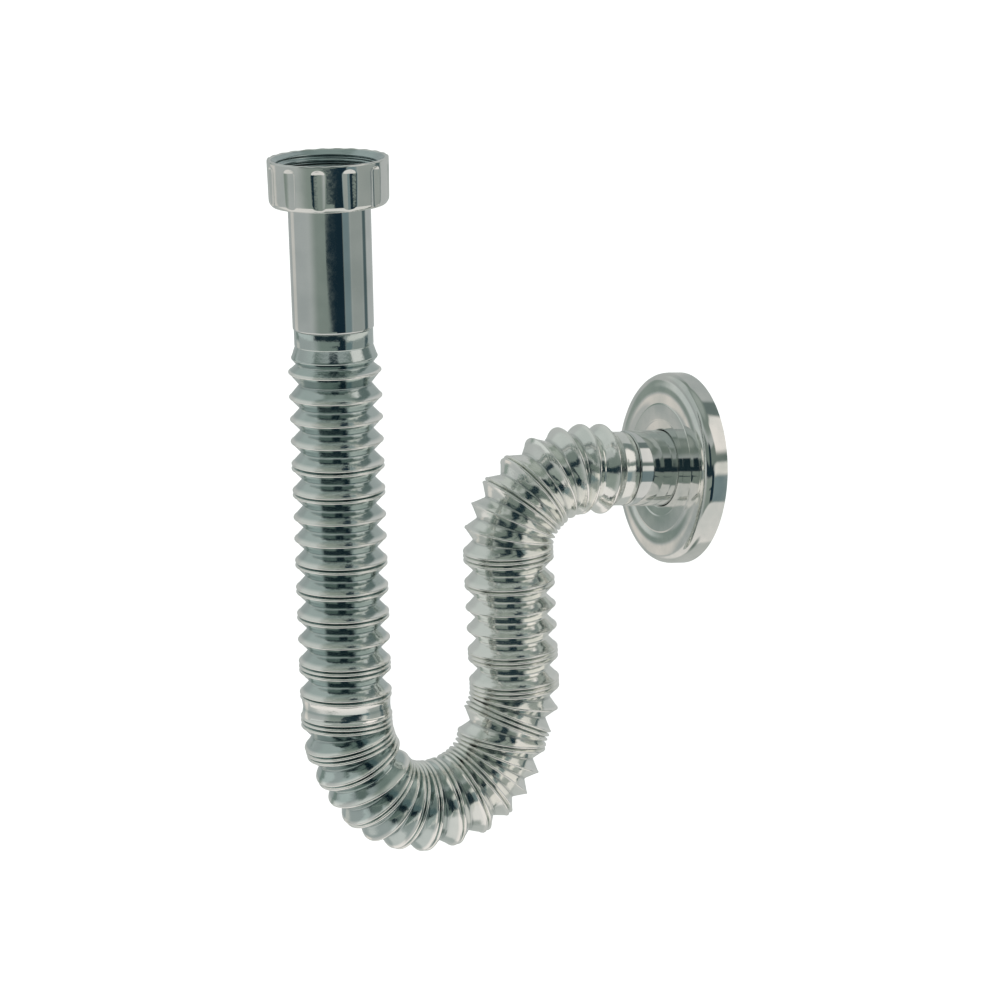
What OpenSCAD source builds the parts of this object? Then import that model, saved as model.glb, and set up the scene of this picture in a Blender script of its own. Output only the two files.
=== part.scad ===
// Flexible basin trap: a chromed bellows tube bent into a U-shaped water seal,
// with a ribbed union nut at the inlet and a wall rosette on the outlet tube.
// Millimetres. Origin: centre of the inlet seal face. +Z up the inlet axis.
// +X points toward the wall, and the whole bellows lies in the XZ plane.

/* [Bellows] */
// outer diameter of a pleat ridge
ridge_d = 37.8; // [36:0.2:40]
// outer diameter at the bottom of a pleat
valley_d = 29; // [27:0.5:31]
// wall of the bellows, measured radially
wall = 0.7; // [0.6:0.1:1]
// width of the flat tip of a ridge
tip_w = 0.8; // [0.6:0.1:1]
// ridge to ridge length of an open pleat
open_pitch = 9.1; // [8:0.1:9.5]
// ridge to ridge length of a pleat snapped shut
shut_pitch = 1.95; // [1.8:0.05:2.6]
// ridge to ridge length of a pleat pulled out nearly flat
flat_pitch = 8.2; // [8:0.1:10]
// pitch of the first pleat, which is pulled out furthest
wide_pitch = 10.35; // [9:0.05:10.5]
// outside length of a bent pleat
bent_outside = 10.7; // [10:0.1:11]
// inside length of a bent pleat
bent_inside = 1.5; // [1.4:0.05:2]
// extra length all round of a stretched bent pleat
bent_extra = 1.9; // [0:0.1:2.5]

/* [Inlet] */
// outer diameter of the inlet tube at the flange
inlet_d = 33.2; // [32:0.1:33.4]
// outer diameter of the inlet tube at its lower end
inlet_end_d = 32.6; // [32:0.1:33]
// wall of the two tubes
tube_wall = 0.8; // [0.6:0.1:1]
// seal face to the lower end of the inlet tube
inlet_len = 58.5; // [50:0.5:70]
// diameter of the flange, seal washer and slip ring
flange_d = 38.2; // [37:0.1:38.3]
// thickness of the seal washer
washer_t = 2.5; // [2:0.5:3]
// thickness of the flange
flange_t = 2; // [1.5:0.5:2.5]

/* [Union nut] */
// outer diameter over the ribs at the mouth
nut_d = 48.6; // [48:0.2:50]
// height of the nut
nut_h = 18.8; // [18:0.5:22]
// bore at the crests of the G1 1/4 thread
thread_bore_d = 38.95; // [38.9:0.05:39]
// number of hollows between the ribs
nut_flutes = 12; // [10:1:14]
// thickness of the shoulder that pulls on the flange
shoulder_t = 3; // [2.5:0.5:4]

/* [Outlet] */
// outer diameter of the outlet tube
outlet_d = 31.6; // [31.4:0.1:32]
// last ridge to the front face of the rosette
rosette_at = 28; // [26:1:45]
// length of tube that stands out behind the rosette
spigot_len = 12; // [8:1:40]
// diameter of the wall rosette
rosette_d = 80; // [75:1:85]
// depth of the rosette from its front face to the wall
rosette_depth = 10.5; // [8:0.5:14]
// sheet of the rosette
rosette_wall = 0.8; // [0.6:0.1:1.2]
// diameter of the fine step in the face of the rosette
rosette_step_d = 54; // [48:1:60]

/* [Hidden] */
$fn = 96;
facets = 32;
gap = 0.1;
ridge_r = ridge_d / 2;
valley_r = valley_d / 2;
bend_turn = (bent_outside - bent_inside) / ridge_d * 180 / PI;
bent_pitch = (bent_outside + bent_inside) / 2;

// One letter for each pleat, from the first full ridge to the last:
// w wide, o open, s snapped shut, f flat, l and r bent to the left or right of the
// flow, L and R the same but stretched.
pleats = str(
    "wooososooosososoossosf",
    "sslsslsolsllslsLsLslslll",
    "srssllssossooososs",
    "rrrsrsRRro"
);

// first ridge of each bellows section after the first one
section_first = [4, 10, 22, 30, 38, 46, 58, 62, 65, 69, 71, 74];
last_ridge = len(pleats);
collar_ridge_d = 34.8;
collar_pitch = 5.85;
collar_rise = 4.8;
neck_show = 6.9;
neck_in = 12;
outlet_neck_show = 6.2;
outlet_rise = 5.1;
neck_fit = 0.35;
// depth of the dip that is left in a flat pleat
flat_dip = 0.6;
// clear space between one bellows section and the next
seam = 0.02;

inlet_neck_r = inlet_end_d / 2 - tube_wall - neck_fit;
outlet_neck_r = outlet_d / 2 - tube_wall - neck_fit;
ring_groove = 0.3;
collar_z = -(inlet_len + neck_show + collar_rise);
first_z = collar_z - collar_pitch;

shoulder_top = -(washer_t + flange_t + 0.8 + 2 * gap);
nut_bottom = shoulder_top - shoulder_t;
nut_top = nut_bottom + nut_h;
nut_hole_r = inlet_d / 2 + 0.4;
mouth_deep = 2.6;
// the thread starts just above the seal face; below it is a plain relief
thread_from = 0.3;
thread_relief = 0.45;
// the row's origin is the middle of the thread, this far above the seal face
origin_up = (thread_from + nut_top - mouth_deep) / 2;
// the nut is screwed home with its hollows turned by this angle
flute_turn = 26.4;
// the free end of the outlet tube is sized slightly under the tube
spigot_under = 0.3;

function pitch(c) =
    c == "w" ? wide_pitch :
    c == "o" ? open_pitch :
    c == "s" ? shut_pitch :
    c == "f" ? flat_pitch :
    (c == "L" || c == "R") ? bent_pitch + bent_extra : bent_pitch;
function turn(c) =
    (c == "l" || c == "L") ? bend_turn :
    (c == "r" || c == "R") ? -bend_turn : 0;

// A station is [x, z, heading in degrees]; heading -90 runs down the inlet leg.
function step_on(s, d, t) = [
    s[0] + d * cos(s[2] + t / 2),
    s[1] + d * sin(s[2] + t / 2),
    s[2] + t
];
ridges = [
    for (i = 0, s = [0, first_z, -90];
         i <= last_ridge;
         s = i < last_ridge ? step_on(s, pitch(pleats[i]), turn(pleats[i])) : s, i = i + 1)
        s
];
function valley(i) = step_on(ridges[i], pitch(pleats[i]) / 2, turn(pleats[i]) / 2);
function low_r(i) = pleats[i] == "f" ? ridge_r - flat_dip : valley_r;
function shift(s, d) = [s[0] + d * cos(s[2]), s[1] + d * sin(s[2]), s[2]];
outlet_end = ridges[last_ridge];

// outer and inner outline of ridges a to b: lists of [station, radius]
function outer_line(a, b) = [
    for (i = [a:b]) each [
        if (i > 0) [valley(i - 1), low_r(i - 1)],
        [shift(ridges[i], -tip_w / 2), ridge_r],
        [shift(ridges[i], tip_w / 2), ridge_r],
        if (i == b && i < last_ridge) [shift(valley(i), -seam), low_r(i)]
    ]
];
function inner_line(a, b) = [
    for (i = [a:b]) each [
        if (i > 0) [valley(i - 1), low_r(i - 1) - wall],
        [ridges[i], ridge_r - 1.4 * wall],
        if (i == b && i < last_ridge) [shift(valley(i), -seam), low_r(i) - wall]
    ]
];
function back(v) = [for (i = [len(v) - 1:-1:0]) v[i]];
function along(v, s0) = [
    for (p = v)
        [p[1], (p[0][0] - s0[0]) * cos(s0[2]) + (p[0][1] - s0[1]) * sin(s0[2])]
];

module at(s) {
    translate([s[0], 0, s[1]])
        rotate([0, 90 - s[2], 0])
            children();
}

// a section whose pleats are all straight: an exact turned solid
module straight_section(a, b) {
    s0 = ridges[a];
    at(s0)
        rotate_extrude()
            polygon(concat(along(outer_line(a, b), s0), back(along(inner_line(a, b), s0))));
}

// a section with bent pleats: rings of facets joined along the bend
module bent_section(a, b) {
    line = concat(outer_line(a, b), back(inner_line(a, b)));
    n = len(line);
    points = [
        for (p = line)
            for (k = [0:facets - 1])
                let (c = p[1] * cos(360 * k / facets), h = p[0][2])
                    [p[0][0] - c * sin(h), p[1] * sin(360 * k / facets), p[0][1] + c * cos(h)]
    ];
    faces = [
        for (j = [0:n - 1])
            for (k = [0:facets - 1])
                let (
                    p = j * facets + k,
                    q = j * facets + (k + 1) % facets,
                    u = ((j + 1) % n) * facets + k,
                    v = ((j + 1) % n) * facets + (k + 1) % facets
                )
                    each [[p, q, v], [p, v, u]]
    ];
    polyhedron(points, faces);
}

function first_of(k) = k == 0 ? 0 : section_first[k - 1];
function last_of(k) = k == len(section_first) ? last_ridge : section_first[k] - 1;

module tube_ring(r_out, r_in, z0, z1) {
    translate([0, 0, z0])
        difference() {
            cylinder(r = r_out, h = z1 - z0);
            translate([0, 0, -1])
                cylinder(r = r_in, h = z1 - z0 + 2);
        }
}

// plain neck, small collar ridge and the first full pleats
module bellows_inlet() {
    s0 = [0, 0, -90];
    neck_top = inlet_len - neck_in;
    outer = concat(
        [
            [inlet_neck_r, neck_top],
            [inlet_neck_r, inlet_len],
            [inlet_end_d / 2 - 0.4, inlet_len + gap],
            [inlet_end_d / 2 - 0.4, inlet_len + neck_show],
            [collar_ridge_d / 2, -collar_z - tip_w / 2],
            [collar_ridge_d / 2, -collar_z + tip_w / 2],
            [valley_r + 1, -collar_z + collar_pitch / 2]
        ],
        along(outer_line(0, last_of(0)), s0)
    );
    inner = concat(
        [
            [inlet_neck_r - wall, neck_top],
            [inlet_neck_r - wall, inlet_len + neck_show],
            [collar_ridge_d / 2 - 1.4 * wall, -collar_z],
            [valley_r + 1 - wall, -collar_z + collar_pitch / 2]
        ],
        along(inner_line(0, last_of(0)), s0)
    );
    color("silver")
        at(s0)
            difference() {
                rotate_extrude()
                    polygon(concat(outer, back(inner)));
                // seat of the neck seal
                tube_ring(inlet_neck_r + 1, inlet_neck_r - ring_groove, inlet_len - 8, inlet_len - 6);
            }
}

// last full ridge and the plain neck that plugs into the outlet tube
module bellows_outlet() {
    s0 = outlet_end;
    neck_out = outlet_d / 2 - 0.4;
    step_at = outlet_rise + outlet_neck_show;
    outer = concat(
        along(outer_line(last_ridge, last_ridge), s0),
        [
            [neck_out, outlet_rise],
            [neck_out, step_at - gap],
            [outlet_neck_r, step_at],
            [outlet_neck_r, step_at + neck_in]
        ]
    );
    inner = concat(
        along(inner_line(last_ridge, last_ridge), s0),
        [
            [outlet_neck_r - wall, outlet_rise],
            [outlet_neck_r - wall, step_at + neck_in]
        ]
    );
    color("silver")
        at(s0)
            difference() {
                rotate_extrude()
                    polygon(concat(outer, back(inner)));
                tube_ring(outlet_neck_r + 1, outlet_neck_r - ring_groove, step_at + 6, step_at + 8);
            }
}

module leg_stretch() {
    color("silver")
        straight_section(first_of(1), last_of(1));
}
module leg_low() {
    color("silver")
        straight_section(first_of(2), last_of(2));
}
module bend_left() {
    color("silver")
        bent_section(first_of(3), last_of(3));
}
module bend_floor() {
    color("silver")
        bent_section(first_of(4), last_of(4));
}
module bend_right() {
    color("silver")
        bent_section(first_of(5), last_of(5));
}
module riser_low() {
    color("silver")
        bent_section(first_of(6), last_of(6));
}
module riser_stretch() {
    color("silver")
        straight_section(first_of(7), last_of(7));
}
module riser_top() {
    color("silver")
        bent_section(first_of(8), last_of(8));
}
module elbow_low() {
    color("silver")
        bent_section(first_of(9), last_of(9));
}
module elbow_mid() {
    color("silver")
        bent_section(first_of(10), last_of(10));
}
module elbow_high() {
    color("silver")
        bent_section(first_of(11), last_of(11));
}

// flanged tube that hangs in the nut and sleeves over the bellows neck
module inlet_tube() {
    r0 = inlet_d / 2;
    r1 = inlet_end_d / 2;
    top = -washer_t;
    color("lightgray")
        rotate_extrude()
            polygon([
                [r0 - tube_wall, top],
                [flange_d / 2, top],
                [flange_d / 2, top - flange_t],
                [r0, top - flange_t],
                [r1, -inlet_len],
                [r1 - tube_wall, -inlet_len],
                [r1 - tube_wall, -inlet_len + neck_in + 1],
                [r0 - tube_wall, top - flange_t - 4]
            ]);
}

module seal_washer() {
    color("dimgray")
        tube_ring(flange_d / 2, inlet_d / 2 - tube_wall, -washer_t, 0);
}

module nut_slip_ring() {
    top = -(washer_t + flange_t + gap);
    color("white")
        tube_ring(flange_d / 2, nut_hole_r, top - 0.8, top);
}

// rubber ring between the bellows neck and the inlet tube
module inlet_neck_seal() {
    color("dimgray")
        tube_ring(inlet_end_d / 2 - tube_wall, inlet_neck_r - ring_groove, -inlet_len + 6, -inlet_len + 8);
}

module union_nut() {
    r = nut_d / 2;
    bore = thread_bore_d / 2;
    flute_r = 6;
    flute_deep = 1;
    flute_stop = 2.2;
    mouth_r = 22.6;
    color("silver")
        difference() {
            rotate_extrude()
                polygon([
                    [nut_hole_r, nut_bottom],
                    [r - 1.7, nut_bottom],
                    [r, nut_bottom + 2],
                    [r, nut_top - 0.4],
                    [r - 0.4, nut_top],
                    [mouth_r, nut_top],
                    [bore, nut_top - mouth_deep],
                    [bore, thread_from],
                    [bore + thread_relief, thread_from],
                    [bore + thread_relief, shoulder_top],
                    [nut_hole_r, shoulder_top]
                ]);
            for (k = [0:nut_flutes - 1])
                rotate([0, 0, k * 360 / nut_flutes + flute_turn])
                    translate([r + flute_r - flute_deep, 0, nut_bottom - 1])
                        cylinder(r = flute_r, h = nut_h + 1 - flute_stop);
        }
}

module outlet_tube() {
    r = outlet_d / 2;
    start = outlet_rise + outlet_neck_show;
    wall_at = rosette_at + rosette_depth;
    color("lightgray")
        at(outlet_end)
            rotate_extrude()
                polygon([
                    [r - tube_wall, start],
                    [r, start],
                    [r, wall_at],
                    [r - spigot_under, wall_at],
                    [r - spigot_under, wall_at + spigot_len],
                    [r - tube_wall, wall_at + spigot_len]
                ]);
}

module outlet_neck_seal() {
    start = outlet_rise + outlet_neck_show;
    color("dimgray")
        at(outlet_end)
            tube_ring(outlet_d / 2 - tube_wall, outlet_neck_r - ring_groove, start + 6, start + 8);
}

// pressed cover plate: rounded rim, flat annulus, fine step and a slight dish
module rosette() {
    r = rosette_d / 2;
    w = rosette_wall;
    step_r = rosette_step_d / 2;
    hole_r = outlet_d / 2 + 0.3;
    color("silver")
        at(shift(outlet_end, rosette_at))
            rotate_extrude()
                polygon([
                    [r, rosette_depth],
                    [r, 2.6],
                    [r - 0.7, 0.9],
                    [r - 2.4, 0],
                    [step_r, 0.2],
                    [step_r - 0.3, 0.4],
                    [20.2, 0.85],
                    [19.6, 1.05],
                    [hole_r, 1.4],
                    [hole_r, 6],
                    [hole_r + w, 6],
                    [hole_r + w, 2.3],
                    [19.6, 1.05 + w],
                    [step_r - 0.3, 0.4 + w],
                    [r - 2.6, w],
                    [r - 1.3, 1.5],
                    [r - w, 2.8],
                    [r - w, rosette_depth]
                ]);
}

// soft ring behind the rosette that grips the tube
module rosette_grip_ring() {
    color("dimgray")
        at(shift(outlet_end, rosette_at))
            tube_ring(outlet_d / 2 + 3.4, outlet_d / 2 + 0.05, 6.1, 9.6);
}

module in_frame() {
    translate([0, 0, -origin_up])
        children();
}

in_frame() union_nut();
in_frame() nut_slip_ring();
in_frame() seal_washer();
in_frame() inlet_tube();
in_frame() inlet_neck_seal();
in_frame() bellows_inlet();
in_frame() leg_stretch();
in_frame() leg_low();
in_frame() bend_left();
in_frame() bend_floor();
in_frame() bend_right();
in_frame() riser_low();
in_frame() riser_stretch();
in_frame() riser_top();
in_frame() elbow_low();
in_frame() elbow_mid();
in_frame() elbow_high();
in_frame() bellows_outlet();
in_frame() outlet_neck_seal();
in_frame() outlet_tube();
in_frame() rosette();
in_frame() rosette_grip_ring();
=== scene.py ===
"""Looks of the flexible basin trap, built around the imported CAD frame. Metres, row frame."""

import math

import bpy
import numpy as np
from mathutils import Matrix, Vector


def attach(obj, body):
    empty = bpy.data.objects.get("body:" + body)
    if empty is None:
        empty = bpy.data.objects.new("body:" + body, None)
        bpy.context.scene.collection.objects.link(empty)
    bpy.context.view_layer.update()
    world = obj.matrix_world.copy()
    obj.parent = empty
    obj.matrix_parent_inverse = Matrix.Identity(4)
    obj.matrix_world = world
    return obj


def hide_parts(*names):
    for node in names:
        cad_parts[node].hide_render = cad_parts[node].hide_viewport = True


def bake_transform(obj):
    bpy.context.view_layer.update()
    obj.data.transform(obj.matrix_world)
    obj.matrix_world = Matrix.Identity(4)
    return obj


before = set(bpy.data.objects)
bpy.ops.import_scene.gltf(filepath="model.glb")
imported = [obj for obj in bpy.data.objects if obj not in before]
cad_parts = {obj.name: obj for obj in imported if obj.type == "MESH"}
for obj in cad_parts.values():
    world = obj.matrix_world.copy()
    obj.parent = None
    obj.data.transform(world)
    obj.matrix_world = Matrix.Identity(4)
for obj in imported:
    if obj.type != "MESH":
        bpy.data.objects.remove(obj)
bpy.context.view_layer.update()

MM = 0.001
# the frame's origin is this far above the seal face, which is z = 0 in the layout below
ORIGIN_UP = 4.0

# ---------------------------------------------------------------- bellows layout
RIDGE_R = 18.9
VALLEY_R = 14.5
SHUT_VALLEY_R = 17.1
WALL = 0.7
# w wide open, o open, s shut, f flattened, l and r turning left and right, L and R wider
PITCH = {"w": 10.35, "o": 9.1, "s": 1.95, "f": 8.2, "l": 6.1, "r": 6.1, "L": 8.0, "R": 8.0}
# a turning pleat is this long on its outer side and this long on its inner side
TURN_OUTER = 10.7
TURN_INNER = 1.5
TURN = math.degrees((TURN_OUTER - TURN_INNER) / (2 * RIDGE_R))
PLEATS = (
    "wooososooosososoossosf"
    "sslsslsolsllslsLsLslslll"
    "srssllssossooososs"
    "rrrsrsRRro"
)
FIRST_Z = -76.05
LAST = len(PLEATS)

# node, its first ridge, its last ridge
SECTIONS = {
    "bellows_inlet": (0, 3),
    "leg_stretch": (4, 9),
    "leg_low": (10, 21),
    "bend_left": (22, 29),
    "bend_floor": (30, 37),
    "bend_right": (38, 45),
    "riser_low": (46, 57),
    "riser_stretch": (58, 61),
    "riser_top": (62, 64),
    "elbow_low": (65, 68),
    "elbow_mid": (69, 70),
    "elbow_high": (71, 73),
    "bellows_outlet": (74, 74),
}
RIDES = {
    "bellows_inlet": "inlet",
    "leg_low": "leg",
    "bend_floor": "floor",
    "riser_low": "riser",
    "riser_top": "riser_head",
    "elbow_mid": "elbow",
    "bellows_outlet": "outlet",
}
# points round a bellows ridge or a tube
AROUND = 144


def turn_of(letter):
    """Degrees by which the flow turns over a pleat."""
    return TURN if letter in "lL" else -TURN if letter in "rR" else 0.0


def step_on(station, length, turn):
    """The station that lies length further on, after turning by turn degrees."""
    x, z, heading = station
    middle = math.radians(heading + turn / 2)
    return (x + length * math.cos(middle), z + length * math.sin(middle), heading + turn)


def ridge_stations():
    """(x, z, heading) of every ridge, from the inlet to the outlet."""
    stations = [(0.0, FIRST_Z, -90.0)]
    for letter in PLEATS:
        stations.append(step_on(stations[-1], PITCH[letter], turn_of(letter)))
    return stations


RIDGES = ridge_stations()
OUTLET_END = RIDGES[-1]


def valley_station(i):
    return step_on(RIDGES[i], PITCH[PLEATS[i]] / 2, turn_of(PLEATS[i]) / 2)


def valley_radius(i):
    """Radius at the bottom of the pleat after ridge i, round the pleat.

    A turning pleat is shallow on its inner side, and a flat pleat keeps a dented dip.
    """
    letter = PLEATS[i]
    t = np.arange(AROUND) * 2 * math.pi / AROUND
    if letter == "s":
        return np.full(AROUND, SHUT_VALLEY_R)
    if letter in "ow":
        return np.full(AROUND, VALLEY_R)
    if letter != "f":
        toward_inner = np.maximum(0.0, np.cos(t) if letter in "lL" else -np.cos(t))
        return VALLEY_R + (SHUT_VALLEY_R - VALLEY_R) * toward_inner**2
    return RIDGE_R - 1.1 - 0.2 * np.cos(3 * t + 0.6) - 0.12 * np.cos(7 * t)


def shifted(station, length):
    return step_on(station, length, 0.0)


# ---------------------------------------------------------------- mesh helpers
def ring(station, radius, count=AROUND):
    """Points in mm round the station. The first one is to the left of the flow."""
    x, z, heading = station
    a = math.radians(heading)
    turns = np.arange(count) * 2 * math.pi / count
    r = np.broadcast_to(radius, (count,))
    left = np.array([-math.sin(a), 0.0, math.cos(a)])
    front = np.array([0.0, -1.0, 0.0])
    centre = np.array([x, 0.0, z])
    return centre + (r * np.cos(turns))[:, None] * left + (r * np.sin(turns))[:, None] * front


def skin(name, rings, fold=None, closed=True, smooth_angle=35):
    """A mesh piece from a list of rings, joined in order and, if closed, back to the first."""
    count = len(rings[0])
    points = (np.concatenate(rings) - (0.0, 0.0, ORIGIN_UP)) * MM
    n = len(rings)
    faces = []
    for j in range(n if closed else n - 1):
        a, b = j * count, ((j + 1) % n) * count
        for k in range(count):
            m = (k + 1) % count
            faces.append((a + k, b + k, b + m, a + m))
    mesh = bpy.data.meshes.new(name)
    mesh.from_pydata([tuple(p) for p in points], [], faces)
    mesh.validate()
    # fold per ring: 0 on ridge tips, which the bellows material gives a painted highlight; higher
    # in valleys and inside, which get painted shade
    if fold is not None:
        layer = mesh.attributes.new("fold", "FLOAT", "POINT")
        layer.data.foreach_set("value", np.repeat(np.array(fold, np.float32), count))
    for face in mesh.polygons:
        face.use_smooth = True
    mesh.set_sharp_from_angle(angle=math.radians(smooth_angle))
    piece = bpy.data.objects.new(name, mesh)
    bpy.context.scene.collection.objects.link(piece)
    return piece


def turned(name, station, profile, closed=True, count=AROUND, smooth_angle=35):
    """A turned piece: profile is a list of (distance along the heading, radius)."""
    rings = [ring(shifted(station, d), r, count) for d, r in profile]
    return skin(name, rings, None, closed, smooth_angle)


def finish_piece(piece, material, slot, body, *nodes):
    piece.data.materials.append(material)
    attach(piece, body)
    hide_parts(*nodes)


# ---------------------------------------------------------------- bellows
def wobble(i, count=AROUND):
    """Small hand-bent unevenness of ridge i, in mm: (along the flow, radial)."""
    rng = np.random.default_rng(1000 + i)
    t = np.arange(count) * 2 * math.pi / count
    along = sum(
        rng.normal(0, 0.07 / k) * np.cos(k * t + rng.uniform(0, 6.28)) for k in (1, 2, 3, 5)
    )
    radial = sum(
        rng.normal(0, 0.05 / k) * np.cos(k * t + rng.uniform(0, 6.28)) for k in (2, 3, 5)
    )
    return along, radial


# rounded tip of a ridge: (distance along the flow, drop below the top)
TIP_TOP = RIDGE_R - 0.12
TIP = ((-0.52, 0.5), (-0.36, 0.16), (-0.16, 0.02), (0.16, 0.02), (0.36, 0.16), (0.52, 0.5))
# the wobble may lift a tip by this much at most, which keeps it inside the CAD's box
TIP_LIFT = 0.1


def ridge_rings(i):
    """Rounded tip of ridge i: six rings, from the upstream side to the downstream side."""
    station = RIDGES[i]
    along, radial = wobble(i)
    a = math.radians(station[2])
    flow = np.array([math.cos(a), 0.0, math.sin(a)])
    rings = []
    for d, drop in TIP:
        points = ring(shifted(station, d), TIP_TOP - drop + np.minimum(radial, TIP_LIFT))
        rings.append(points + along[:, None] * flow)
    return rings


# shares of the way down a pleat's flank that get a ring, and where the valley's bend begins
FLANK_SHARES = (0.4, 0.82)
BEND_FROM = 0.9
# how much painted shade darkens a pleat's valley, 0 to 1
VALLEY_PAINTED_SHADE = {"o": 0.35, "f": 0.1, "s": 0.75}
TURNING_VALLEY_PAINTED_SHADE = 0.6


def pleat_rings(i, upstream, downstream):
    """Rings of the fold between ridge i's last tip ring and ridge i + 1's first one."""
    valley = ring(valley_station(i), valley_radius(i))
    rings = [upstream + (valley - upstream) * s for s in FLANK_SHARES]
    near_a = upstream + (valley - upstream) * BEND_FROM
    near_b = downstream + (valley - downstream) * BEND_FROM
    for t in (0.0, 0.25, 0.5, 0.75, 1.0):
        rings.append((1 - t) ** 2 * near_a + 2 * t * (1 - t) * valley + t * t * near_b)
    rings += [downstream + (valley - downstream) * s for s in FLANK_SHARES[::-1]]
    # painted shade in the valley: darkest in shut and turning pleats
    depth = VALLEY_PAINTED_SHADE.get(PLEATS[i], TURNING_VALLEY_PAINTED_SHADE)
    fold = [depth * 0.35, depth * 0.7] + [depth] * 5 + [depth * 0.7, depth * 0.35]
    return rings, fold


def half_pleat(i, first_half):
    """The fold between ridges i and i + 1 up to its valley, or from its valley on."""
    rings, fold = pleat_rings(i, ridge_rings(i)[-1], ridge_rings(i + 1)[0])
    middle = len(rings) // 2
    if first_half:
        return rings[: middle + 1], fold[: middle + 1]
    return rings[middle:], fold[middle:]


def bellows_outer(first, last):
    """The outer side of the wall, from the valley before one ridge to the valley after another."""
    rings, fold = [], []
    if first > 0:
        rings, fold = half_pleat(first - 1, False)
    for i in range(first, last + 1):
        tip = ridge_rings(i)
        rings += tip
        fold += [0.0] * len(tip)
        if i < last:
            more, depth = pleat_rings(i, tip[-1], ridge_rings(i + 1)[0])
            rings += more
            fold += depth
    if last < LAST:
        more, depth = half_pleat(last, True)
        rings += more
        fold += depth
    return rings, fold


def bellows_inner(first, last):
    """The inner side of the wall, from the last ridge back to the first."""
    rings = []
    if last < LAST:
        rings.append(ring(valley_station(last), valley_radius(last) - WALL))
    for i in range(last, first - 1, -1):
        rings.append(ring(RIDGES[i], RIDGE_R - 1.4 * WALL))
        if i > 0:
            rings.append(ring(valley_station(i - 1), valley_radius(i - 1) - WALL))
    return rings


NECK_R = 15.9
COLLAR_AT = 70.2
COLLAR_R = 17.4
COLLAR_VALLEY = 2.925
INLET = (0.0, 0.0, -90.0)


def inlet_collar():
    """The plain neck and the small collar ridge above the first full pleat, outside and in."""
    edge = VALLEY_R + 1.0
    first = ridge_rings(0)[0]
    valley = ring(shifted(INLET, COLLAR_AT + COLLAR_VALLEY), edge)
    outside = [
        (46.5, 15.15),
        (58.45, 15.15),
        (58.7, NECK_R - 0.1),
        (58.9, NECK_R),
        (64.9, NECK_R),
        (65.25, NECK_R - 0.05),
        (65.5, NECK_R - 0.25),
        (65.75, NECK_R - 0.15),
        (66.1, NECK_R + 0.05),
        (COLLAR_AT - 0.7, COLLAR_R - 0.28),
        (COLLAR_AT - 0.3, COLLAR_R - 0.06),
        (COLLAR_AT + 0.1, COLLAR_R),
        (COLLAR_AT + 0.45, COLLAR_R - 0.15),
        (COLLAR_AT + 0.65, COLLAR_R - 0.4),
        (COLLAR_AT + 2.4, edge + 0.2),
    ]
    rings = [ring(shifted(INLET, d), r) for d, r in outside]
    after = [valley + (first - valley) * s for s in (0.12, 0.5)]
    rings.append(0.25 * rings[-1] + 0.5 * valley + 0.25 * after[0])
    rings += after
    # the last four rings lie in the groove after the collar
    fold = [0.1] * (len(rings) - 4) + [0.3] * 4
    inside = [(73.1, edge - WALL), (COLLAR_AT, COLLAR_R - 1.0), (65.4, 14.4), (46.5, 14.4)]
    return rings, fold, [ring(shifted(INLET, d), r) for d, r in inside]


def outlet_neck():
    """The plain neck after the last ridge, outside and in."""
    tip = ridge_rings(LAST)[-1]
    outside = [
        (4.5, 15.55),
        (4.95, 15.35),
        (5.3, 15.4),
        (10.6, 15.4),
        (10.95, 15.25),
        (11.2, 14.65),
        (23.3, 14.65),
    ]
    rings = [ring(shifted(OUTLET_END, d), r) for d, r in outside]
    rings = [tip + (rings[0] - tip) * 0.5] + rings
    inside = [(23.3, 13.95), (5.1, 13.95)]
    return rings, [0.15] * len(rings), [ring(shifted(OUTLET_END, d), r) for d, r in inside]


# painted shade on the bellows' inner wall
INNER_WALL_PAINTED_SHADE = 0.8


def build_bellows(node, material):
    """One section of the bellows, rigid on its body, or left in place unattached."""
    first, last = SECTIONS[node]
    rings, fold = bellows_outer(first, last)
    inner = bellows_inner(first, last)
    if node == "bellows_inlet":
        above, depth, inside = inlet_collar()
        rings = above + rings
        fold = depth + fold
        inner += inside
    if node == "bellows_outlet":
        below, depth, inside = outlet_neck()
        rings += below
        fold += depth
        inner = inside + inner
    # the inner wall gets painted shade
    fold = fold + [INNER_WALL_PAINTED_SHADE] * len(inner)
    piece = skin(node + "_skin", rings + inner, fold, True, 60)
    piece.data.materials.append(material)
    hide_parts(node)
    if node in RIDES:
        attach(piece, RIDES[node])
        return piece
    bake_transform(piece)
    return piece


# ---------------------------------------------------------------- tubes
def build_inlet_tube(material):
    """The tube in the nut with its flange. Short rings by each edge keep the wall straight."""
    outside = [
        (2.5, 16.0),
        (2.5, 18.9),
        (2.7, 19.1),
        (4.3, 19.1),
        (4.5, 18.9),
        (4.5, 16.85),
        (4.9, 16.6),
        (5.2, 16.597),
        (20.0, 16.52),
        (40.0, 16.42),
        (57.2, 16.322),
        (57.6, 16.32),
        (58.2, 16.28),
        (58.45, 16.1),
        (58.5, 15.7),
        (58.3, 15.5),
        (45.0, 15.5),
        (8.5, 15.8),
    ]
    piece = turned("inlet_tube_shell", INLET, outside, True, AROUND, 50)
    finish_piece(piece, material, "chrome_tube", "inlet", "inlet_tube")


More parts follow.
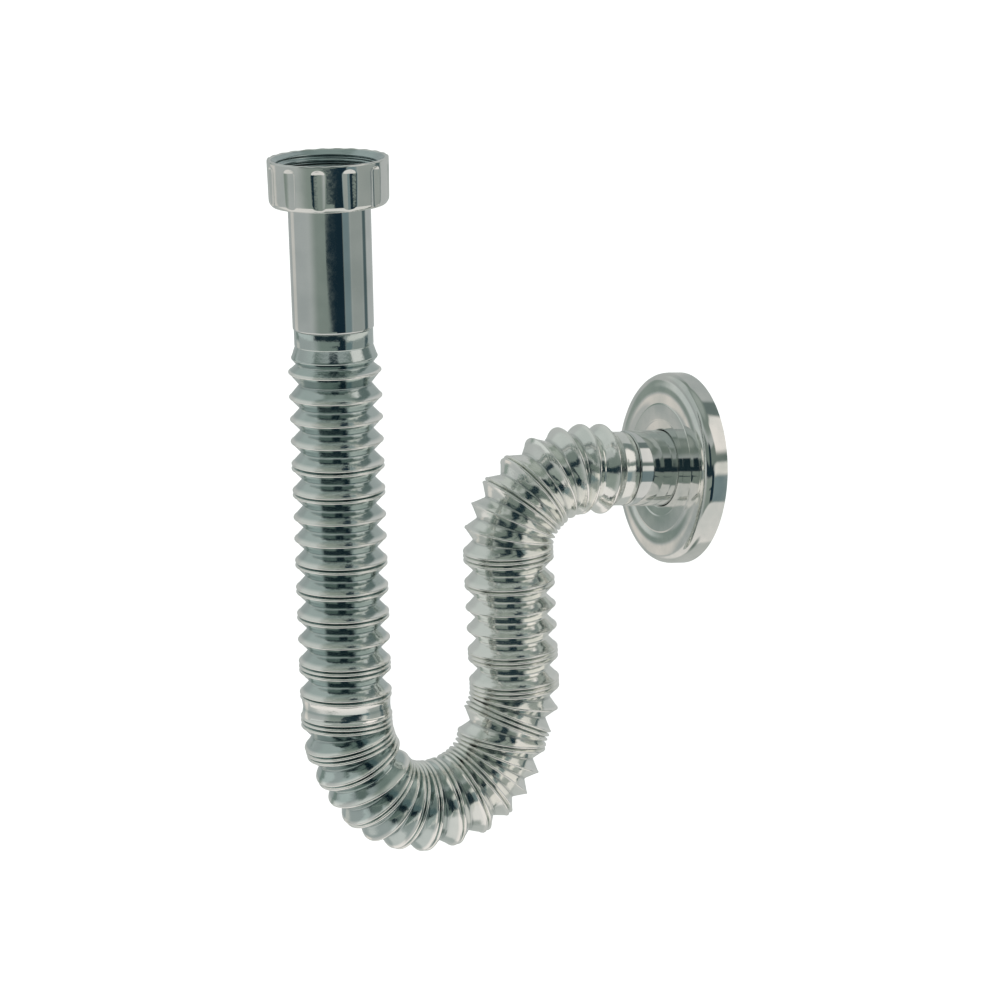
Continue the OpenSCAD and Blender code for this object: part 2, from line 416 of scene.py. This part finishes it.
def build_outlet_tube(material):
    """The tube through the rosette, with a slimmer end for the wall socket."""
    start, wall_at, end = 11.3, 38.5, 50.5
    outside = [
        (start + 0.05, 15.0),
        (start, 15.45),
        (start + 0.15, 15.7),
        (start + 0.5, 15.8),
        (start + 0.7, 15.8),
        (20.0, 15.8),
        (wall_at, 15.8),
        (wall_at + 0.15, 15.5),
        (end - 0.3, 15.5),
        (end, 15.3),
        (end, 15.05),
        (end - 0.2, 15.0),
    ]
    piece = turned("outlet_tube_shell", OUTLET_END, outside, True, AROUND, 50)
    finish_piece(piece, material, "chrome_tube", "outlet", "outlet_tube")


# ---------------------------------------------------------------- rosette
ROSETTE_AT = 28.0


def build_rosette(material):
    """The pressed plate: rim, crowned edge, fine step, shallow step and hole, then its back."""
    outside = [
        (10.5, 40.0),
        (5.4, 40.0),
        (4.4, 39.93),
        (3.3, 39.7),
        (2.4, 39.25),
        (1.7, 38.6),
        (1.15, 37.7),
        (0.85, 36.9),
        (0.6, 35.6),
        (0.42, 34.3),
        (0.35, 33.2),
        (0.33, 32.4),
        (0.33, 27.6),
        (0.45, 27.35),
        (0.45, 27.1),
        (0.35, 26.9),
        (0.36, 26.6),
        (0.42, 20.6),
        (0.44, 20.3),
        (0.56, 20.05),
        (0.6, 19.8),
        (0.64, 16.8),
        (0.72, 16.4),
        (0.95, 16.1),
        (1.7, 15.98),
        (6.0, 15.98),
        (6.0, 16.85),
        (2.6, 17.4),
        (1.8, 22.4),
        (1.3, 26.0),
        (1.1, 28.0),
        (1.1, 32.5),
        (1.7, 36.4),
        (2.5, 38.0),
        (3.9, 39.0),
        (5.4, 39.2),
        (10.5, 39.2),
    ]
    station = shifted(OUTLET_END, ROSETTE_AT)
    piece = turned("rosette_plate", station, outside, True, 192, 50)
    finish_piece(piece, material, "chrome_rosette", "rosette", "rosette")


# ---------------------------------------------------------------- union nut
NUT_R = 24.3
NUT_TOP = 10.3
NUT_BOTTOM = -8.5
FLUTES = 12
FLUTE_R = 6.0
FLUTE_DEEP = 1.0
FLUTE_PHASE = math.radians(26.4)
ARCH_DOWN = 3.9
ARCH_STRETCH = 0.66
THREAD_PITCH = 2.309
THREAD_ROOT = 20.75
THREAD_DEEP = 1.25
NUT_AROUND = 480
NO_FLUTE = 99.0
FLUTE_BLEND = 0.12
SCALLOPS = 12
SCALLOP_DEEP = 0.22
# painted shade on the nut's inside and thread
NUT_INSIDE_PAINTED_SHADE = 0.75


def flute_radius(angles, z):
    """Radius of the scooped wall at each angle; scoops end in an arch below the rim."""
    arch_from = NUT_TOP - ARCH_DOWN
    rise = max(0.0, (z - arch_from) / ARCH_STRETCH)
    cut = math.sqrt(max(0.0, FLUTE_R**2 - rise**2))
    centre = NUT_R + FLUTE_R - FLUTE_DEEP
    step = 2 * math.pi / FLUTES
    off = (angles - FLUTE_PHASE + step / 2) % step - step / 2
    inside = cut**2 - (centre * np.sin(off)) ** 2
    wall = centre * np.cos(off) - np.sqrt(np.maximum(inside, 0.0))
    return np.where(inside > 0, wall, NO_FLUTE)


def soft_min(a, b, width):
    """The lesser of two radii, with the corner between them rounded over width."""
    h = np.clip(0.5 + 0.5 * (b - a) / width, 0, 1)
    return b + (a - b) * h - width * h * (1 - h)


def nut_ring(radius, z, angles):
    """One ring of the nut: radius and z may differ round the ring."""
    r = np.broadcast_to(radius, angles.shape)
    h = np.broadcast_to(z, angles.shape)
    return np.stack([r * np.cos(angles), r * np.sin(angles), h], -1)


def thread_radius(angles, z):
    """Female thread, a rounded helix that fades out at both ends."""
    turn = (z / THREAD_PITCH - angles / (2 * math.pi)) % 1.0
    shape = 0.5 - 0.5 * np.cos(2 * math.pi * turn)
    fade = np.clip((NUT_TOP - 1.6 - z) / 1.2, 0, 1) * np.clip((z - 0.2) / 1.0, 0, 1)
    return THREAD_ROOT - THREAD_DEEP * (shape**1.2) * fade


def scooped(radius, z, angles):
    """One ring of the nut's wall at height z, with the scoops cut into it."""
    wall = np.full_like(angles, radius)
    return nut_ring(soft_min(wall, flute_radius(angles, z), FLUTE_BLEND), z, angles)


def build_nut(material):
    """The union nut: rounded foot, scooped wall, scalloped rim, thread and shoulder."""
    angles = np.arange(NUT_AROUND) * 2 * math.pi / NUT_AROUND
    bumps = SCALLOP_DEEP * np.cos(SCALLOPS * (angles - FLUTE_PHASE)) ** 2 - SCALLOP_DEEP
    foot = ((0.0, 22.6), (0.25, 22.95), (0.9, 23.45), (1.5, 23.8), (2.1, 23.95), (3.0, 24.02))
    rings = [scooped(r, NUT_BOTTOM + up, angles) for up, r in foot]
    for z in list(np.linspace(-4.5, 5.9, 8)) + list(np.linspace(6.4, 9.6, 17)):
        taper = 24.02 + 0.28 * (z + 5.5) / 15.8
        rings.append(scooped(min(taper, NUT_R), z, angles))
    for r, z in ((24.28, 9.9), (24.2, 10.12), (24.0, 10.25), (23.7, NUT_TOP)):
        rings.append(nut_ring(r, z + bumps, angles))
    for r, z in ((23.1, NUT_TOP), (22.85, 10.2), (22.6, 9.9)):
        rings.append(nut_ring(r, z + bumps * 0.5, angles))
    outside = len(rings) - 1
    rings.append(nut_ring(21.4, NUT_TOP - 1.1, angles))
    for z in np.arange(NUT_TOP - 1.6, 0.0, -THREAD_PITCH / 12):
        rings.append(nut_ring(thread_radius(angles, z), z, angles))
    for r, z in ((20.6, 0.0), (20.2, -0.4), (19.93, -0.9), (19.93, -5.5), (17.0, -5.5)):
        rings.append(nut_ring(r, z, angles))
    for r, z in ((17.0, -8.3), (17.2, NUT_BOTTOM), (22.2, NUT_BOTTOM)):
        rings.append(nut_ring(r, z, angles))
    # the inside of the nut gets painted shade
    fold = [0.0] * outside + [NUT_INSIDE_PAINTED_SHADE] * (len(rings) - outside)
    piece = skin("union_nut_shell", [r[::-1] for r in rings], fold, True, 50)
    finish_piece(piece, material, "chrome_nut", "nut", "union_nut")


# ---------------------------------------------------------------- materials
class Nodes:
    """A short way to write a shader tree."""

    def __init__(self, tree):
        self.tree = tree

    def add(self, kind, inputs=None, **settings):
        """A node of one kind; each input is a number, a vector or another node's output."""
        node = self.tree.nodes.new(kind)
        for key, value in settings.items():
            setattr(node, key, value)
        for key, value in (inputs or {}).items():
            if isinstance(value, bpy.types.NodeSocket):
                self.tree.links.new(value, node.inputs[key])
            else:
                node.inputs[key].default_value = value
        return node

    def math(self, operation, a, b=0.0):
        return self.add("ShaderNodeMath", {0: a, 1: b}, operation=operation).outputs[0]

    def ramp(self, value, low, high, smooth=True):
        kind = "SMOOTHSTEP" if smooth else "LINEAR"
        inputs = {0: value, 1: low, 2: high, 3: 0.0, 4: 1.0}
        return self.add("ShaderNodeMapRange", inputs, interpolation_type=kind).outputs[0]

    def mix(self, share, a, b, blend="MIX"):
        node = self.tree.nodes.new("ShaderNodeMix")
        node.data_type = "RGBA"
        node.blend_type = blend
        for index, value in ((0, share), (6, a), (7, b)):
            if isinstance(value, bpy.types.NodeSocket):
                self.tree.links.new(value, node.inputs[index])
            else:
                node.inputs[index].default_value = value
        return node.outputs[2]


def new_material(name):
    """A node material, a writer for its tree, and its shader."""
    material = bpy.data.materials.new(name)
    material.use_nodes = True
    nodes = Nodes(material.node_tree)
    shader = material.node_tree.nodes["Principled BSDF"]
    return material, nodes, shader


def rgb(r, g, b):
    return (r, g, b, 1.0)


# painted shade: the leg's chrome is tinted darker than the riser's, fading out across x; its tint,
# and where across x it clears, in metres
LEG_PAINTED_SHADE = (0.63, 0.7, 0.71, 1.0)
LEG_SHADE_UNTIL = 0.026
LEG_SHADE_CLEARS_FROM = 0.06
# painted highlight: ridge tips are tinted lighter
RIDGE_PAINTED_HIGHLIGHT = (0.98, 0.97, 0.94, 1.0)
FOLD_ROUGHNESS = 0.18
# colour of the painted shade in the bellows' folds
PAINTED_SHADE_COLOUR = (0.12, 0.17, 0.18)


def chrome(
    name, light, dark, rough, rough_more, bump, grain, shade_share=0.0, shade_colour=PAINTED_SHADE_COLOUR, painted_light=False
):
    """Plated metal with cloudy tint, uneven polish and fine pits; optionally painted shade in folds
    and inside, and, on the bellows, painted shade on the leg and a painted highlight on ridge tips.
    """
    material, n, shader = new_material(name)
    where = n.add("ShaderNodeTexCoord").outputs["Object"]
    # turned, so that the noise's own grid never lines up with a tube
    askew = n.add("ShaderNodeMapping", {"Vector": where, "Rotation": (0.6, 0.9, 0.4)}).outputs[0]
    cloud = n.add("ShaderNodeTexNoise", {"Vector": askew, "Scale": 55.0, "Detail": 3.0}).outputs[0]
    fine = n.add("ShaderNodeTexNoise", {"Vector": askew, "Scale": grain, "Detail": 4.0}).outputs[0]
    tint = n.mix(n.ramp(cloud, 0.35, 0.68), light, dark)
    roughness = n.math("MULTIPLY_ADD", n.ramp(fine, 0.3, 0.75), rough_more)
    roughness.node.inputs[2].default_value = rough
    if painted_light:
        # painted shade: the leg, at low x, is tinted darker
        across = n.add("ShaderNodeSeparateXYZ", {0: where}).outputs[0]
        leg_shaded = n.mix(1.0, tint, LEG_PAINTED_SHADE, "MULTIPLY")
        tint = n.mix(n.ramp(across, LEG_SHADE_UNTIL, LEG_SHADE_CLEARS_FROM), leg_shaded, tint)
    if shade_share:
        depth = n.add("ShaderNodeAttribute", attribute_name="fold").outputs["Fac"]
        # painted highlight on the ridge tips
        if painted_light:
            tint = n.mix(n.ramp(depth, 0.0, 0.12), RIDGE_PAINTED_HIGHLIGHT, tint)
        # painted shade in the folds and inside, which are also made rougher
        shade_mask = n.ramp(depth, 0.3, 1.0)
        tint = n.mix(n.math("MULTIPLY", shade_mask, shade_share), tint, rgb(*shade_colour))
        roughness = n.math("ADD", roughness, n.math("MULTIPLY", shade_mask, FOLD_ROUGHNESS))
    height = n.math("ADD", n.math("MULTIPLY", cloud, 0.8), n.math("MULTIPLY", fine, 0.2))
    normal = n.add("ShaderNodeBump", {"Height": height, "Strength": bump, "Distance": 0.0006})
    n.tree.links.new(tint, shader.inputs["Base Color"])
    n.tree.links.new(roughness, shader.inputs["Roughness"])
    n.tree.links.new(normal.outputs[0], shader.inputs["Normal"])
    shader.inputs["Metallic"].default_value = 1.0
    return material


def rubber(name, colour, dust):
    """Dull rubber or plastic with fine spots of dust."""
    material, n, shader = new_material(name)
    where = n.add("ShaderNodeTexCoord").outputs["Object"]
    spots = n.add("ShaderNodeTexNoise", {"Vector": where, "Scale": 400.0, "Detail": 4.0}).outputs[0]
    tint = n.mix(n.ramp(spots, 0.4, 0.75), colour, dust)
    bump = n.add("ShaderNodeBump", {"Height": spots, "Strength": 0.3, "Distance": 0.0004})
    roughness = n.math("MULTIPLY_ADD", spots, 0.25)
    roughness.node.inputs[2].default_value = 0.55
    n.tree.links.new(tint, shader.inputs["Base Color"])
    n.tree.links.new(roughness, shader.inputs["Roughness"])
    n.tree.links.new(bump.outputs[0], shader.inputs["Normal"])
    return material


def dress_frame_node(node, material):
    """A CAD node whose shape is right keeps its mesh and gets this material."""
    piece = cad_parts[node]
    piece.data.materials.clear()
    piece.data.materials.append(material)


# ---------------------------------------------------------------- studio
# the camera's angles in degrees, distance and target in metres, lens in millimetres
AZIMUTH = -26.066
ELEVATION = 13.448
ROLL = -1.454
DISTANCE = 1.76092
TARGET = Vector((0.072268, 0.0, -0.142851))
LENS = 153.9
SENSOR = 36.0
FLOOR_REACH = 12.0
FLOOR_Z = -0.37


def add_camera():
    """The camera at the photograph's viewing angle."""
    a, e, t = (math.radians(v) for v in (AZIMUTH, ELEVATION, ROLL))
    back = Vector((math.sin(a) * math.cos(e), -math.cos(a) * math.cos(e), math.sin(e)))
    side = Vector((math.cos(a), math.sin(a), 0.0))
    up = back.cross(side)
    right = math.cos(t) * side + math.sin(t) * up
    up = math.cos(t) * up - math.sin(t) * side
    data = bpy.data.cameras.new("camera")
    data.lens = LENS
    data.sensor_width = SENSOR
    data.clip_end = 30.0
    camera = bpy.data.objects.new("camera", data)
    rotation = Matrix((right, up, back)).transposed().to_4x4()
    camera.matrix_world = Matrix.Translation(TARGET + DISTANCE * back) @ rotation
    bpy.context.scene.collection.objects.link(camera)
    bpy.context.scene.camera = camera


def add_floor():
    """A pale floor well below the trap, which stays out of the chrome's reflections."""
    size, z = FLOOR_REACH, FLOOR_Z
    mesh = bpy.data.meshes.new("floor")
    corners = [(-size, -size, z), (size, -size, z), (size, size, z), (-size, size, z)]
    mesh.from_pydata(corners, [], [(0, 1, 2, 3)])
    floor = bpy.data.objects.new("floor", mesh)
    bpy.context.scene.collection.objects.link(floor)
    material, _, shader = new_material("pale_floor")
    shader.inputs["Base Color"].default_value = rgb(0.9, 0.9, 0.9)
    shader.inputs["Roughness"].default_value = 0.9
    shader.inputs["Emission Color"].default_value = rgb(1.0, 1.0, 1.0)
    shader.inputs["Emission Strength"].default_value = 0.78
    mesh.materials.append(material)
    floor.visible_glossy = False


# soft panels round the object: azimuths from the camera's own, then elevations, degrees
# (name, az from, az to, el from, el to, soft az, soft el, colour)
PANELS = (
    ("ground_front", -128, 118, -76, -27, 16, 10, (0.78, 0.76, 0.73)),
    ("side_left", -178, -64, -24, 26, 34, 12, (0.43, 0.455, 0.445)),
    ("side_left_high", -150, -48, 26, 62, 16, 12, (0.5, 0.54, 0.52)),
    ("side_right", 122, 179, -24, 62, 8, 10, (0.48, 0.5, 0.49)),
    ("side_right_high", 88, 126, 12, 62, 10, 8, (0.17, 0.21, 0.2)),
    ("front_grey_green", -50, 44, -30, 2, 30, 4, (0.25, 0.295, 0.265)),
    ("front_dim", -62, 92, 12, 34, 12, 6, (0.17, 0.21, 0.19)),
    ("front_right_blue", 38, 58, -30, -2, 4, 3, (0.19, 0.255, 0.265)),
    ("right_grey", 58, 102, -30, -2, 12, 3, (0.34, 0.37, 0.35)),
    ("right_dark_gap", 103, 118, -30, 0, 7, 4, (0.09, 0.13, 0.135)),
    ("left_cream", -136, -117, -22, -8.5, 7, 3, (0.66, 0.64, 0.6)),
    ("left_shade", -136, -117, -6.5, 8, 7, 3, (0.25, 0.3, 0.275)),
    ("low_cream", 42, 118, 0, 12, 10, 4, (0.8, 0.78, 0.73)),
    ("low_left", -124, -62, 0, 12, 12, 4, (0.6, 0.64, 0.62)),
    ("dark_slit", -56, 32, 2, 14, 10, 4, (0.014, 0.03, 0.038)),
    ("dark_middle", -14, 13, 8, 38, 6, 5, (0.014, 0.03, 0.038)),
    ("white_card", 56, 94, 22, 56, 8, 8, (0.9, 0.86, 0.82)),
)


def band(n, value, low, high, soft):
    """1 between low and high, softened outward over soft on both sides."""
    rise = n.ramp(value, low - soft / 2, low + soft / 2)
    fall = n.ramp(value, high - soft / 2, high + soft / 2)
    return n.math("SUBTRACT", rise, fall)


DARK_CARD = (0.01, 0.026, 0.038)


def add_world():
    """A soft studio: a grey-green tent, pale panels, a cream ground and two dark cards."""
    world = bpy.data.worlds.new("studio")
    bpy.context.scene.world = world
    world.use_nodes = True
    n = Nodes(world.node_tree)
    background = world.node_tree.nodes["Background"]
    axes = n.add("ShaderNodeSeparateXYZ", {0: n.add("ShaderNodeTexCoord").outputs["Generated"]})
    x, y, z = axes.outputs
    turn = n.math("ARCTAN2", x, n.math("MULTIPLY", y, -1.0))
    turn = n.math("SUBTRACT", n.math("DEGREES", turn), AZIMUTH)
    azimuth = n.math("WRAP", turn, 180.0)
    azimuth.node.inputs[2].default_value = -180.0
    elevation = n.math("DEGREES", n.math("ARCSINE", z))
    colour = n.mix(n.ramp(elevation, -90.0, -70.0), rgb(0.16, 0.2, 0.18), rgb(0.48, 0.5, 0.48))
    colour = n.mix(n.ramp(elevation, -40.0, 30.0), colour, rgb(0.42, 0.45, 0.44))
    colour = n.mix(n.ramp(elevation, 40.0, 55.0), colour, rgb(0.24, 0.285, 0.255))
    colour = n.mix(n.ramp(elevation, 62.0, 76.0), colour, rgb(0.38, 0.42, 0.39))
    for _, a0, a1, e0, e1, soft_a, soft_e, tone in PANELS:
        across = band(n, azimuth, a0, a1, soft_a)
        share = n.math("MULTIPLY", across, band(n, elevation, e0, e1, soft_e))
        colour = n.mix(share, colour, rgb(*tone))
    # the tall dark card bulges: its left edge comes forward above and goes back at the top
    bulge = n.math("MULTIPLY", n.ramp(elevation, -13.0, -10.7), 24.0)
    bulge = n.math("SUBTRACT", bulge, n.math("MULTIPLY", n.ramp(elevation, -10.6, -9.0), 30.0))
    across = band(n, n.math("ADD", azimuth, bulge), 12.0, 90.0, 3.0)
    across = n.math("MULTIPLY", across, n.math("SUBTRACT", 1.0, n.ramp(azimuth, 35.0, 39.0)))
    share = n.math("MULTIPLY", across, band(n, elevation, -28.0, 6.0, 5.0))
    colour = n.mix(share, colour, rgb(*DARK_CARD))
    seen = n.add("ShaderNodeLightPath").outputs["Is Camera Ray"]
    colour = n.mix(seen, colour, rgb(1.0, 1.0, 1.0))
    world.node_tree.links.new(colour, background.inputs["Color"])


def chromes():
    """The four kinds of plating: bellows, plain tube, nut and rosette."""
    bellows = chrome(
        "bellows_chrome",
        rgb(0.96, 0.96, 0.93),
        rgb(0.83, 0.85, 0.82),
        rough=0.08,
        rough_more=0.06,
        bump=0.26,
        grain=900.0,
        shade_share=0.6,
        painted_light=True,
    )
    tube = chrome(
        "tube_chrome",
        rgb(0.75, 0.77, 0.76),
        rgb(0.66, 0.69, 0.68),
        rough=0.04,
        rough_more=0.04,
        bump=0.025,
        grain=300.0,
    )
    nut = chrome(
        "nut_chrome",
        rgb(0.8, 0.81, 0.79),
        rgb(0.7, 0.73, 0.71),
        rough=0.06,
        rough_more=0.06,
        bump=0.12,
        grain=800.0,
        shade_share=0.9,
        # dark teal painted shade inside the nut
        shade_colour=(0.36, 0.48, 0.5),
    )
    plate = chrome(
        "rosette_chrome",
        rgb(0.86, 0.85, 0.82),
        rgb(0.66, 0.69, 0.67),
        rough=0.05,
        rough_more=0.05,
        bump=0.03,
        grain=300.0,
    )
    return bellows, tube, nut, plate


def main():
    bellows, tube, nut, plate = chromes()
    washer = rubber("washer_rubber", rgb(0.03, 0.03, 0.032), rgb(0.09, 0.09, 0.09))
    seal = rubber("seal_rubber", rgb(0.02, 0.02, 0.02), rgb(0.06, 0.06, 0.06))
    slip = rubber("slip_plastic", rgb(0.75, 0.75, 0.72), rgb(0.6, 0.6, 0.58))
    for node in SECTIONS:
        build_bellows(node, bellows)
    build_inlet_tube(tube)
    build_outlet_tube(tube)
    build_nut(nut)
    build_rosette(plate)
    dress_frame_node("seal_washer", washer)
    dress_frame_node("nut_slip_ring", slip)
    for node in ("inlet_neck_seal", "outlet_neck_seal", "rosette_grip_ring"):
        dress_frame_node(node, seal)
    add_camera()
    add_floor()
    add_world()
    bpy.context.scene.view_settings.view_transform = "Standard"


main()
